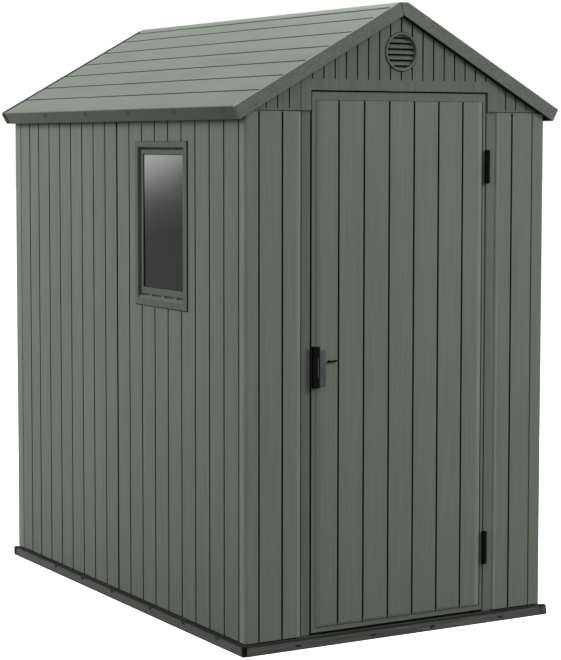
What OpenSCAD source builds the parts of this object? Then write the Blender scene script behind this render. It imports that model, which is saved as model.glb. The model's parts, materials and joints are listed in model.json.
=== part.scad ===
// Plastic tool shed: moulded wall, gable and roof panels on a two-part floor,
// with one hinged door, a fixed side window and a louvred vent in each gable.
// The origin is the middle of the floor's underside. X runs to the right as one
// faces the door, Y runs towards the back wall and Z is up. Sizes are millimetres.

/* [Walls] */
// Width over the outer faces of the side walls
wall_width = 1153; // [1000:1:1400]
// Depth over the outer faces of the front and back walls
wall_depth = 1804; // [1500:1:2200]
// Height at which the gables stand on the wall panels
seat_height = 1700; // [1650:1:1950]
// Thickness of the wall, gable and door panels
panel_t = 18; // [14:0.5:24]
// Width of the boards moulded into the side walls
board_pitch = 96.1; // [80:0.1:110]
// Width of the grooves between the boards of the side walls
groove_width = 5; // [4:0.1:8]
// Width of the grooves in the front, back, gables and door
front_groove_width = 4.2; // [3.5:0.1:6]
// Width of the groove where the two halves of a side wall meet
panel_joint_width = 9; // [5:0.5:12]
// Depth of the grooves between boards
groove_depth = 7; // [5:0.5:9]
// Depth of the plain border round the door and beside the doorway
border_depth = 7; // [5:0.5:8]
// Height of the foot that stands each panel clear of the floor's edge
foot_height = 6; // [3:0.5:8]
// Distance that the foot is set back from the panel's face
foot_inset = 9; // [5:0.5:10]

/* [Corner posts] */
// Leg of a post along the front or back wall
post_leg = 50.5; // [45:0.5:70]
// Leg of a front post along the side wall
front_post_side_leg = 37.1; // [32:0.1:60]
// Leg of a back post along the side wall
back_post_side_leg = 59.5; // [45:0.1:80]
// Radius of a post's outer corner
post_radius = 12; // [6:1:20]

/* [Roof] */
// Slope of the roof in degrees
roof_pitch = 29; // [22:0.5:34]
// Thickness of the roof panels
roof_t = 25; // [18:0.5:35]
// Height of the roof's underside above the seat, at the walls' outer faces
roof_rise_at_wall = 10.45; // [4:0.05:30]
// Overhang of the roof past each side wall
side_overhang = 45.5; // [35:0.5:70]
// Overhang of the roof past the front and back walls
end_overhang = 16; // [14:0.5:30]
// Width of the flat along the top of the ridge
ridge_flat = 31; // [20:1:50]
// Width of the ridge cap's wing on each slope
cap_wing = 37; // [25:1:60]
// Width of the first board below the ridge cap
first_roof_board = 69.7; // [50:0.1:100]
// Depth of the barge boards and eave fascias, square to the slope
barge_depth = 44; // [38:0.5:60]
// Thickness of the barge boards
barge_t = 12; // [8:0.5:13]
// Gap between the two barge boards at their mitre
mitre_gap = 1.5; // [1:0.5:4]
// Width of the grooves between the boards of the roof
roof_groove_width = 5; // [4:0.5:8]
// Width of the groove beside the ridge cap
cap_groove_width = 8; // [5:0.5:10]
// Wall of the eave fascias
fascia_t = 6; // [4:0.5:10]

/* [Door] */
// Width of the doorway
doorway_width = 680; // [600:1:740]
// Distance of the doorway's middle to the right of the wall's middle
doorway_x = 3; // [0:0.5:10]
// Height of the doorway's head above the ground
doorway_head = 1767.7; // [1720:0.1:1768]
// Gap at the door's head and hinged edge
door_gap = 5; // [5:0.5:8]
// Gap at the door's latched edge
latch_gap = 6.5; // [5:0.5:8]
// Gap between the floor and the door's lower edge
door_sill_gap = 10.5; // [6:0.5:16]
// Width of the boards moulded into the door
door_board_pitch = 95.4; // [80:0.1:110]
// Width of the plain border down each side of the door
door_side_border = 14.5; // [12:0.1:30]
// Height of the plain border at the door's top
door_top_border = 27; // [20:0.5:40]
// Height of the plain border at the door's foot
door_foot_border = 17; // [14:0.5:40]
// Width over which the edges of the door's field round down to its border
door_edge_round = 18; // [8:1:24]
// Width of the plain border on the panels beside the doorway
jamb_border = 36; // [20:1:45]
// Width over which the front panels round down to that border
jamb_edge_round = 10; // [6:1:16]
// Width of the board next to the corner post on the front panels
front_board = 84.5; // [70:0.5:100]

/* [Hinges and handle] */
// Height of a hinge
hinge_height = 107; // [80:1:140]
// Height of the lower hinge's foot above the ground
lower_hinge_z = 200; // [120:1:400]
// Height of the upper hinge's foot above the ground
upper_hinge_z = 1471; // [1200:1:1550]
// Outer radius of the hinge knuckles
knuckle_r = 9; // [7:0.25:9]
// Radius of the hinge pins
pin_r = 3; // [2:0.25:4]
// Running clearance round a pin
pin_clearance = 0.05; // [0.02:0.01:0.1]
// Height of the handle
handle_height = 131; // [100:1:180]
// Height of the handle's middle above the ground
handle_z = 896; // [800:1:1100]

/* [Window] */
// Width of the window frame
window_width = 378; // [300:1:400]
// Height of the window frame
window_height = 552; // [400:1:600]
// Height of the window's middle above the ground
window_z = 1332; // [1200:1:1360]
// Distance that the frame stands out from the wall
window_proud = 4; // [2:0.5:6]
// Width of the frame's sides
frame_stile = 22.5; // [16:0.5:30]
// Height of the frame's top and foot
frame_rail = 20; // [16:0.5:30]
// Distance from the frame's face back to the sash's face
sash_setback = 9; // [6:0.5:12]
// Dark gap between the frame and the sash, at its sides and top
sash_gap = 8; // [4:0.5:10]
// Height of the sill under the sash
sill_height = 18; // [14:0.5:24]
// Width of the sash's sides and top
sash_bar = 15; // [12:0.5:24]
// Height of the sash's foot
sash_foot = 22.5; // [15:0.5:30]
// Thickness of the glazing
glazing_t = 3; // [2:0.5:4]

/* [Gable vents] */
// Distance of the vent's centre below the ridge
vent_drop = 157; // [150:1:170]
// Outer radius of the vent's ring
vent_r = 62; // [50:1:66]
// Distance that the ring laps the gable round its hole
vent_lap = 5; // [3:0.5:8]
// Distance that the ring stands out from the gable
vent_proud = 5; // [3:0.5:8]
// Distance between two louvres
louvre_pitch = 17.9; // [14:0.1:22]

/* [Floor] */
// Height of the floor's top above the ground
floor_height = 32; // [24:1:45]
// Ledge of the floor past the walls at its top
floor_ledge = 7.5; // [4:0.5:10]
// Distance that the floor's skirt spreads out towards the ground
skirt_flare = 4; // [0:0.5:5]
// Thickness of the floor's deck
deck_t = 7; // [5:0.5:12]
// Thickness of the skirt and ribs under the deck
rib_t = 8; // [6:0.5:12]

/* [Hidden] */
$fn = 48;

wall_colour = [0.40, 0.42, 0.39];
roof_colour = [0.58, 0.60, 0.57];
floor_colour = [0.25, 0.25, 0.25];
black = [0.05, 0.05, 0.05];
grey = [0.28, 0.28, 0.28];

eps = 0.01;
far = 3000;
// Clearance between fixed pieces that meet
fit = 0.1;

half_w = wall_width / 2;
half_d = wall_depth / 2;
half_doorway = doorway_width / 2;
panel_foot_z = floor_height + foot_height;

// Roof lines. The roof's upper outline is its underside raised by roof_drop.
slope = tan(roof_pitch);
roof_drop = roof_t / cos(roof_pitch);
under_ridge_z = seat_height + roof_rise_at_wall + slope * (half_w - ridge_flat / 2);
ridge_z = under_ridge_z + roof_drop;
roof_half_w = half_w + side_overhang;
roof_half_d = half_d + end_overhang;
slope_length = (roof_half_w - ridge_flat / 2) / cos(roof_pitch);
roof_length = 2 * (roof_half_d - barge_t - fit);
lintel_top = doorway_head + 34.8;

vent_z = ridge_z - vent_drop;
window_x = 3.5 * board_pitch;

door_left = -half_doorway + latch_gap;
door_right = half_doorway - door_gap;
door_foot = floor_height + door_sill_gap;
door_head = doorway_head - door_gap;
door_half_w = (door_right - door_left) / 2;
door_field_half = door_half_w - door_side_border;
hinge_x = half_doorway - door_gap / 2;
hinge_y = -half_d + border_depth - knuckle_r - 0.3;
leaf_t = 2;
groove_draft = 0.75;
// Depth of the sheer step that is left at the foot of a rounded edge
edge_step = 1.5;

function even_lines(length, count) = [for (i = [0 : count]) i * length / count];
function board_lines(length, last) = concat(
    [for (x = board_pitch; x < length - last - 0.4 * board_pitch; x = x + board_pitch) x],
    [length - last]);

// ---------------------------------------------------------------- places
// A wall's own frame has X to the right as seen from outside, Y inwards from
// the outer face and Z up.
module on_front() { translate([0, -half_d, 0]) children(); }
module on_back() { rotate([0, 0, 180]) on_front() children(); }
module at_doorway() { translate([doorway_x, 0, 0]) children(); }
module on_door() { at_doorway() on_front() translate([(door_left + door_right) / 2, 0, 0]) children(); }
module on_left() { translate([-half_w, 0, 0]) rotate([0, 0, -90]) children(); }
module on_right() { translate([half_w, 0, 0]) rotate([0, 0, 90]) children(); }

// The frame of the right-hand slope has X down the slope from the edge of the
// ridge flat and Y square to it, outwards. Its shapes are drawn in that plane
// and run the given length along the shed.
module along_slope(length) {
    translate([ridge_flat / 2, length / 2, ridge_z])
        rotate([90, 0, 0])
            rotate([0, 0, -roof_pitch])
                linear_extrude(length) children();
}

// The point of a cross-section at s down the right-hand slope from the edge of
// the ridge flat and up outwards from it.
function on_slope(s, up) = [
    ridge_flat / 2 + s * cos(roof_pitch) + up * sin(roof_pitch),
    ridge_z - s * sin(roof_pitch) + up * cos(roof_pitch)
];
function flipped(points) = [for (i = [len(points) - 1 : -1 : 0]) [-points[i][0], points[i][1]]];

module upright(thickness, y) {
    translate([0, y + thickness, 0]) rotate([90, 0, 0]) linear_extrude(thickness) children();
}

// ---------------------------------------------------------------- profiles
module groove(x, width = groove_width, depth = groove_depth) {
    polygon([
        [x - width / 2, -eps],
        [x + width / 2, -eps],
        [x + width / 2 - groove_draft, depth],
        [x - width / 2 + groove_draft, depth]
    ]);
}

// Plan of a straight panel from x0 to x1, with a groove on each board line.
// A line at an end cuts half a groove, and the next panel has the other half.
module board_plan(x0, x1, lines, width) {
    difference() {
        translate([x0, 0]) square([x1 - x0, panel_t]);
        for (x = lines) groove(x, width);
    }
}

// What is cut from the outer corner at X = 0 so that the face rounds down to
// a border: an arc that leaves the face at a slight angle and ends at a small
// sheer step.
module rounded_step(width) {
    drop = border_depth - edge_step;
    shallow = 0.1;
    r = (width * width + drop * drop) / (2 * drop);
    difference() {
        translate([-1, -1]) square([width + 1, drop + 1]);
        translate([width, r - shallow]) circle(r, $fn = 180);
    }
}

// A panel that stands on its foot between the floor and the height given.
module standing_panel(x0, x1, top) {
    translate([0, 0, panel_foot_z]) linear_extrude(top - panel_foot_z) children();
    translate([x0, foot_inset, floor_height])
        cube([x1 - x0, panel_t - foot_inset, foot_height]);
}

module roof_outline(drop) {
    polygon([
        [-roof_half_w - far, ridge_z - drop - slope * (roof_half_w + far - ridge_flat / 2)],
        [-ridge_flat / 2, ridge_z - drop],
        [ridge_flat / 2, ridge_z - drop],
        [roof_half_w + far, ridge_z - drop - slope * (roof_half_w + far - ridge_flat / 2)]
    ]);
}

module under_roof() {
    intersection() {
        children();
        upright(2 * far, -far) roof_outline(roof_drop + fit);
    }
}

// ---------------------------------------------------------------- floor
module skirt_block(x_in, x_out) {
    intersection() {
        upright(2 * far, -far)
            polygon([[x_in, 0], [x_out + skirt_flare, 0], [x_out, floor_height], [x_in, floor_height]]);
        rotate([90, 0, 90])
            translate([0, 0, -far])
                linear_extrude(2 * far)
                    polygon([
                        [-half_d - floor_ledge - skirt_flare, 0],
                        [half_d + floor_ledge + skirt_flare, 0],
                        [half_d + floor_ledge, floor_height],
                        [-half_d - floor_ledge, floor_height]
                    ]);
    }
}

module floor_half() {
    cells_x = 3;
    cells_y = 9;
    cell_x = (half_w - 2 * rib_t) / cells_x;
    cell_y = (wall_depth - rib_t) / cells_y;
    corner_notch = 11;
    color(floor_colour)
        difference() {
            skirt_block(0, half_w + floor_ledge);
            for (i = [0 : cells_x - 1])
                for (j = [0 : cells_y - 1])
                    translate([rib_t + i * cell_x, -half_d + rib_t + j * cell_y, -eps])
                        cube([cell_x - rib_t / 2, cell_y - rib_t, floor_height - deck_t + eps]);
            for (y = [-1, 1])
                translate([half_w + floor_ledge + skirt_flare, y * (half_d + floor_ledge + skirt_flare), 0])
                    cube([2 * corner_notch, 2 * corner_notch, 3 * floor_height], center = true);
        }
}

module floor_right() { floor_half(); }
module floor_left() { mirror([1, 0, 0]) floor_half(); }

// ---------------------------------------------------------------- corner posts
// Plan of a right-hand front post: an angle with a rounded outer corner.
module post_plan(side_leg, inset = 0) {
    r = post_radius;
    difference() {
        translate([half_w - post_leg, -half_d + inset]) square([post_leg - inset, side_leg - inset]);
        translate([half_w - post_leg - eps, -half_d + panel_t])
            square([post_leg - panel_t + eps, side_leg]);
        if (inset == 0) {
            translate([half_w - r, -half_d - eps]) difference() {
                square([r + eps, r + eps]);
                translate([0, r + eps]) circle(r);
            }
            translate([half_w - post_leg, -half_d]) groove(0, front_groove_width);
            translate([half_w, -half_d + side_leg]) rotate([0, 0, 90]) groove(0);
        }
    }
}

// Above the seat only the leg along the side wall goes on up to the roof.
module post(side_leg) {
    color(wall_colour) {
        translate([0, 0, panel_foot_z]) linear_extrude(seat_height - panel_foot_z) post_plan(side_leg);
        translate([0, 0, floor_height]) linear_extrude(foot_height) post_plan(side_leg, foot_inset);
        under_roof() translate([half_w, -half_d, seat_height]) rotate([0, 0, 90])
            linear_extrude(far) difference() {
                translate([panel_t, 0]) square([side_leg - panel_t, panel_t]);
                groove(side_leg);
            }
    }
}

module post_front_right() { post(front_post_side_leg); }
module post_front_left() { mirror([1, 0, 0]) post(front_post_side_leg); }
module post_back_right() { mirror([0, 1, 0]) post(back_post_side_leg); }
module post_back_left() { rotate([0, 0, 180]) post(back_post_side_leg); }

// ---------------------------------------------------------------- wall panels
// The panel on the right of the doorway, with a plain border at the jamb. The
// shift is how far the doorway's edge lies further out on this side.
module front_panel(shift) {
    x0 = half_doorway + shift;
    x1 = half_w - post_leg;
    step_x = x0 + jamb_border;
    lines = [for (x = x1; x > step_x + 20; x = x - front_board) x];
    color(wall_colour)
        on_front() standing_panel(x0, x1, seat_height) difference() {
            board_plan(x0, x1, lines, front_groove_width);
            translate([x0 - eps, -eps]) square([jamb_border + eps, border_depth + eps]);
            translate([step_x, 0]) rounded_step(jamb_edge_round);
        }
}

module front_panel_right() { front_panel(doorway_x); }
module front_panel_left() { mirror([1, 0, 0]) front_panel(-doorway_x); }

module side_panel(length, last_board) {
    color(wall_colour)
        under_roof() on_right()
            standing_panel(0, length, ridge_z) difference() {
                board_plan(0, length, concat(board_lines(length, last_board), [length]), groove_width);
                groove(0, panel_joint_width);
            }
}

module side_front() {
    mirror([0, 1, 0]) side_panel(half_d - front_post_side_leg, board_pitch);
}

module side_back() { side_panel(half_d - back_post_side_leg, 86.5); }

module side_panel_right_front() { side_front(); }
module side_panel_right_back() { side_back(); }
module side_panel_left_back() { mirror([1, 0, 0]) side_back(); }

// The wall has a hole for the window frame, with a narrow rebate round it.
module side_panel_left_front() {
    rebate = 2.5;
    color(wall_colour)
        difference() {
            mirror([1, 0, 0]) side_front();
            at_window() {
                block(window_width + 2 * frame_gap, window_height + 2 * frame_gap, -panel_t, 2 * panel_t);
                block(window_width + 2 * rebate, window_height + 2 * rebate, -panel_t, 5);
            }
        }
}

module back_panel_right() {
    length = half_w - post_leg;
    color(wall_colour)
        on_back() mirror([1, 0, 0])
            standing_panel(0, length, seat_height)
                board_plan(0, length, even_lines(length, round(length / 88)), front_groove_width);
}

module back_panel_left() { mirror([1, 0, 0]) back_panel_right(); }

// ---------------------------------------------------------------- gables
gable_pitch = 41.6;

module gable_grooves(doorway) {
    side_lines = floor(half_w / gable_pitch);
    for (i = [-side_lines : side_lines]) {
        x = i * gable_pitch;
        beside = abs(x) > half_doorway + jamb_border + gable_pitch / 2;
        foot = beside && doorway ? seat_height + 10 : lintel_top;
        if (abs(x) < half_w - post_leg)
            translate([x, 0, foot]) linear_extrude(far) groove(0, front_groove_width);
    }
}

// Over the doorway the face is set back a little, and a narrow rebate along the
// foot marks the seam with the wall panels.
module gable(doorway) {
    ear_setback = 2;
    seam_height = 4;
    seam_depth = 5.5;
    band_half_w = half_doorway + jamb_border;
    hole_r = vent_r - vent_lap;
    ring_clearance = 2;
    under_roof() on_front() difference() {
        translate([-half_w, 0, seat_height]) cube([wall_width, panel_t, ridge_z - seat_height]);
        translate([-half_w - eps, -eps, seat_height - eps])
            cube([wall_width + 2 * eps, seam_depth, seam_height]);
        gable_grooves(doorway);
        translate([0, -eps, vent_z]) rotate([-90, 0, 0]) {
            cylinder(r = hole_r, h = panel_t + 2 * eps);
            cylinder(r = vent_r + ring_clearance, h = groove_depth);
        }
        if (doorway) {
            translate([doorway_x - half_doorway, -eps, seat_height - eps])
                cube([doorway_width, panel_t + 2 * eps, doorway_head - seat_height + eps]);
            for (side = [-1, 1])
                translate([doorway_x + side * (band_half_w + far / 2), ear_setback / 2 - eps, seat_height])
                    cube([far, ear_setback + eps, far], center = true);
        }
    }
}

module gable_front() { color(wall_colour) gable(true); }
module gable_back() { color(wall_colour) rotate([0, 0, 180]) gable(false); }

// A round louvred vent: a beaded ring that laps the gable, a sleeve through it
// and sloping louvres across the sleeve.
module vent() {
    sleeve_r = vent_r - vent_lap - 0.3;
    open_r = sleeve_r - 2.5;
    bead_r = (vent_r - open_r) / 2;
    seat = groove_depth - 0.3;
    blade_t = 2.5;
    blade_w = 17;
    blade_tilt = 45;
    count = floor(2 * open_r / louvre_pitch);
    color(wall_colour)
        on_front() translate([0, 0, vent_z]) {
            rotate([-90, 0, 0]) rotate_extrude($fn = 96) {
                translate([open_r, bead_r - vent_proud])
                    square([vent_r - open_r, seat + vent_proud - bead_r]);
                translate([open_r + bead_r, bead_r - vent_proud]) circle(bead_r);
                translate([open_r, 0]) square([sleeve_r - open_r, panel_t]);
            }
            intersection() {
                rotate([-90, 0, 0]) cylinder(r = open_r + eps, h = panel_t, $fn = 96);
                for (i = [0 : count])
                    translate([-vent_r, panel_t / 2, (i - count / 2) * louvre_pitch])
                        rotate([blade_tilt, 0, 0])
                            translate([0, -blade_w / 2, -blade_t / 2])
                                cube([2 * vent_r, blade_w, blade_t]);
            }
        }
}

module vent_front() { vent(); }
module vent_back() { rotate([0, 0, 180]) vent(); }

// ---------------------------------------------------------------- roof
module roof_panel() {
    end = slope_length - fascia_t - fit;
    lines = [for (s = cap_wing + first_roof_board; s < slope_length - 60; s = s + 95.7) s];
    color(roof_colour)
        along_slope(roof_length) difference() {
            translate([cap_wing + fit, -roof_t]) square([end - cap_wing - fit, roof_t]);
            for (s = lines) mirror([0, 1]) groove(s, roof_groove_width);
            mirror([0, 1]) groove(cap_wing, cap_groove_width);
        }
}

module roof_panel_right() { roof_panel(); }
module roof_panel_left() { mirror([1, 0, 0]) roof_panel(); }

// The cap bridges the two roof panels: a flat top, and a wing on each slope.
module ridge_cap() {
    wing = [
        [ridge_flat / 2, under_ridge_z],
        on_slope(cap_wing, -roof_t),
        on_slope(cap_wing, -groove_depth),
        on_slope(cap_wing - cap_groove_width / 2 + groove_draft, -groove_depth),
        on_slope(cap_wing - cap_groove_width / 2, 0),
        on_slope(0, 0)
    ];
    color(roof_colour)
        upright(roof_length, -roof_length / 2) polygon(concat(wing, flipped(wing)));
}

// Barge boards: each is cut square to the slope at its eave. The right-hand
// one carries the flat of the ridge, and they meet on a slanting mitre.
barge_apex = [0, ridge_z + slope * ridge_flat / 2 - barge_depth / cos(roof_pitch)];
barge_eave = [on_slope(slope_length, 0), on_slope(slope_length, -barge_depth)];

module barge_right_outline() {
    polygon([
        [-ridge_flat / 2 + mitre_gap, ridge_z],
        on_slope(0, 0),
        barge_eave[0],
        barge_eave[1],
        barge_apex + [mitre_gap, -slope * mitre_gap]
    ]);
}

module barge_left_outline() {
    polygon(concat([[-ridge_flat / 2, ridge_z], barge_apex], flipped(barge_eave)));
}

// A fine line runs along the board under the roof's edge.
module barge_line() {
    translate([ridge_flat / 2, -roof_half_d, ridge_z])
        rotate([0, roof_pitch, 0])
            translate([-ridge_flat, 0, -6.5])
                cube([slope_length + ridge_flat - 4, 3, 1.5], center = false);
}

module barge_front_right() {
    color(wall_colour)
        difference() {
            upright(barge_t, -roof_half_d) barge_right_outline();
            translate([ridge_flat, -1.5, 0]) barge_line();
        }
}

module barge_front_left() {
    color(wall_colour)
        difference() {
            upright(barge_t, -roof_half_d) barge_left_outline();
            mirror([1, 0, 0]) translate([ridge_flat, -1.5, 0]) barge_line();
        }
}

module barge_back_left() { rotate([0, 0, 180]) barge_front_right(); }
module barge_back_right() { rotate([0, 0, 180]) barge_front_left(); }

// Eave fascia: a channel that closes the roof panel's edge and turns in
// under the eave towards the wall.
module eave_fascia() {
    lip_t = 4;
    wall_gap = 0.5;
    top_in = on_slope(slope_length - fascia_t, 0);
    foot = barge_eave[1];
    down = (top_in[1] - foot[1] - lip_t) / cos(roof_pitch);
    color(wall_colour)
        upright(roof_length, -roof_length / 2) polygon([
            on_slope(slope_length, 0),
            foot,
            [half_w + wall_gap, foot[1]],
            [half_w + wall_gap, foot[1] + lip_t],
            [top_in[0] - down * sin(roof_pitch), foot[1] + lip_t],
            top_in
        ]);
}

module eave_fascia_right() { eave_fascia(); }
module eave_fascia_left() { mirror([1, 0, 0]) eave_fascia(); }

// ---------------------------------------------------------------- window
frame_gap = 0.8;
opening_w = window_width - 2 * frame_stile;
opening_h = window_height - 2 * frame_rail;
opening_foot = -opening_h / 2;
sash_w = opening_w - 2 * sash_gap;
sash_bottom = opening_foot + sill_height;
sash_h = opening_h / 2 - sash_gap - sash_bottom;
sash_y = sash_setback - window_proud;
glass_w = sash_w - 2 * sash_bar;
glass_h = sash_h - sash_bar - sash_foot;
glass_bottom = sash_bottom + sash_foot;
glass_y = sash_y + 4;
glass_lap = 5;

// The window's frame of reference has its origin in the middle of the window,
// in the wall's outer face.
module at_window() { on_left() translate([window_x, 0, window_z]) children(); }

// A block centred on X, from the height z and the depth y.
module block_from(width, z, height, y, depth) { translate([-width / 2, y, z]) cube([width, depth, height]); }
module block(width, height, y, depth) { block_from(width, -height / 2, height, y, depth); }

module window_frame() {
    color(wall_colour)
        at_window() difference() {
            block(window_width, window_height, -window_proud, window_proud + panel_t);
            block(opening_w, opening_h, -panel_t, 3 * panel_t);
        }
}

// The sash's face is set back from the frame. Behind it a flange fills the
// opening, so that a narrow dark gap runs round the sash.
module window_sash() {
    flange_t = 4;
    color(wall_colour)
        at_window() difference() {
            union() {
                block_from(sash_w, sash_bottom, sash_h, sash_y, panel_t - sash_y);
                block(opening_w - 2 * fit, opening_h - 2 * fit, panel_t - flange_t, flange_t);
            }
            block_from(glass_w, glass_bottom, glass_h, -panel_t, 3 * panel_t);
            block_from(glass_w + 2 * glass_lap, glass_bottom - glass_lap, glass_h + 2 * glass_lap,
                glass_y, glazing_t + 2 * fit);
        }
}

module window_glazing() {
    w = glass_w + 2 * glass_lap - 2 * fit;
    h = glass_h + 2 * glass_lap - 2 * fit;
    color([0.55, 0.57, 0.58])
        at_window() block_from(w, glass_bottom - glass_lap + fit, h, glass_y + fit, glazing_t);
}

// Sloping sill under the sash, with drain slots along its top.
module window_sill() {
    slots = 4;
    slot_w = 62;
    slot_h = 6.5;
    slot_pitch = 88;
    slope_h = 12.5;
    w = opening_w - 2 * fit;
    top = sill_height - 2 * fit;
    back = panel_t - 4 - fit;
    color(wall_colour)
        at_window() translate([0, 0, opening_foot + fit]) difference() {
            rotate([90, 0, 90]) translate([0, 0, -w / 2]) linear_extrude(w)
                polygon([
                    [fit - window_proud, 0],
                    [back, 0],
                    [back, top],
                    [sash_y, top],
                    [sash_y, slope_h],
                    [fit - window_proud, 1]
                ]);
            for (i = [0 : slots - 1])
                translate([(i - (slots - 1) / 2) * slot_pitch, 0, 0])
                    block_from(slot_w, top - slot_h, 2 * slot_h, sash_y - 2, 8);
        }
}

// ---------------------------------------------------------------- door
// A thinner border runs round the door's raised field, whose edges round down
// to it at the sides and at the foot.
module door_panel() {
    lines = [for (x = door_board_pitch / 2; x < door_field_half - 40; x = x + door_board_pitch) x];
    field_foot = door_foot + door_foot_border;
    foot_slope = 10;
    foot_drop = 4;
    color(wall_colour)
        on_door() {
            translate([-door_half_w, border_depth, door_foot])
                cube([2 * door_half_w, panel_t - border_depth, door_head - door_foot]);
            difference() {
                translate([0, 0, field_foot])
                    linear_extrude(door_head - door_top_border - field_foot) difference() {
                        translate([-door_field_half, 0])
                            square([2 * door_field_half, border_depth + eps]);
                        for (x = lines) {
                            groove(x, front_groove_width);
                            groove(-x, front_groove_width);
                        }
                        for (side = [0, 1])
                            mirror([side, 0]) translate([-door_field_half, 0])
                                rounded_step(door_edge_round);
                    }
                translate([-door_half_w, 0, field_foot])
                    rotate([90, 0, 90]) linear_extrude(2 * door_half_w)
                        polygon([[-1, -1], [-1, foot_slope + 1], [0, foot_slope], [foot_drop, -1]]);
            }
        }
}

module handle_plate() {
    plate_t = 3;
    plate_w = 32;
    color(grey)
        on_door() translate([-door_half_w + grip_w - 4, -plate_t, handle_z - handle_height / 2 + 3])
            cube([plate_w, plate_t - fit, handle_height - 16]);
}

// A grip of rounded section that stands on the door's side border, with a lip
// over the edge of the door's field and another over the gap at the jamb.
grip_w = 20;

module handle_grip() {
    proud = end_overhang - 0.5;
    foot_w = door_side_border - 0.6;
    lip = latch_gap - 1;
    r = 5;
    color(black)
        on_door() translate([-door_half_w, 0, handle_z - handle_height / 2])
            linear_extrude(handle_height) union() {
                translate([0, -proud + r]) square([foot_w, proud - r + border_depth]);
                translate([-lip, -proud + r]) square([lip + grip_w, proud - r - 4]);
                translate([r - lip, -proud]) square([grip_w + lip - 2 * r, r + eps]);
                translate([r - lip, -proud + r]) circle(r);
                translate([grip_w - r, -proud + r]) circle(r);
            }
}

module latch_lever() {
    lever_l = 34;
    lever_h = 5;
    lever_t = 7;
    color(black)
        on_door() translate([-door_half_w + 53.5, -lever_t, handle_z + 12]) rotate([0, -4, 0])
            cube([lever_l, lever_t - fit, lever_h]);
}

// ---------------------------------------------------------------- hinges
// Each hinge has a leaf on the jamb with the outer two knuckles, a leaf on
// the door's edge with the middle knuckle, and a pin through all three.
module knuckle(z, h) {
    translate([hinge_x, hinge_y, z]) difference() {
        cylinder(r = knuckle_r, h = h);
        translate([0, 0, -1]) cylinder(r = pin_r + pin_clearance, h = h + 2);
    }
}

module leaf(side, z, h) {
    leaf_w = 14;
    x = side > 0 ? half_doorway - leaf_t : door_right;
    difference() {
        translate([x, hinge_y, z]) cube([leaf_t, -hinge_y - half_d + border_depth + leaf_w, h]);
        translate([hinge_x, hinge_y, z - 1]) cylinder(r = knuckle_r - 1, h = h + 2);
        if (side > 0)
            translate([hinge_x, hinge_y, z + knuckle_h])
                cylinder(r = knuckle_r + knuckle_gap, h = knuckle_h + 2 * knuckle_gap);
    }
}

knuckle_gap = 0.5;
knuckle_h = (hinge_height - 2 * knuckle_gap) / 3;

module jamb_leaf(z) {
    color(black) at_doorway() {
        for (i = [0, 2]) knuckle(z + i * (knuckle_h + knuckle_gap), knuckle_h);
        leaf(1, z, hinge_height);
    }
}

module door_leaf(z) {
    color(black) at_doorway() {
        knuckle(z + knuckle_h + knuckle_gap, knuckle_h);
        leaf(-1, z + knuckle_h + knuckle_gap, knuckle_h);
    }
}

module hinge_pin(z) {
    color(black) at_doorway() translate([hinge_x, hinge_y, z]) cylinder(r = pin_r, h = hinge_height);
}

module hinge_upper_jamb_leaf() { jamb_leaf(upper_hinge_z); }
module hinge_upper_door_leaf() { door_leaf(upper_hinge_z); }
module hinge_upper_pin() { hinge_pin(upper_hinge_z); }
module hinge_lower_jamb_leaf() { jamb_leaf(lower_hinge_z); }
module hinge_lower_door_leaf() { door_leaf(lower_hinge_z); }
module hinge_lower_pin() { hinge_pin(lower_hinge_z); }

// ---------------------------------------------------------------- assembly
floor_left();
floor_right();
post_front_left();
post_front_right();
post_back_left();
post_back_right();
front_panel_left();
front_panel_right();
side_panel_left_front();
side_panel_left_back();
side_panel_right_front();
side_panel_right_back();
back_panel_left();
back_panel_right();
gable_front();
gable_back();
vent_front();
vent_back();
roof_panel_left();
roof_panel_right();
ridge_cap();
barge_front_left();
barge_front_right();
barge_back_left();
barge_back_right();
eave_fascia_left();
eave_fascia_right();
window_frame();
window_sash();
window_glazing();
window_sill();
door_panel();
handle_plate();
handle_grip();
latch_lever();
hinge_upper_jamb_leaf();
hinge_upper_door_leaf();
hinge_upper_pin();
hinge_lower_jamb_leaf();
hinge_lower_door_leaf();
hinge_lower_pin();
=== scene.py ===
import json
import math

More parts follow.
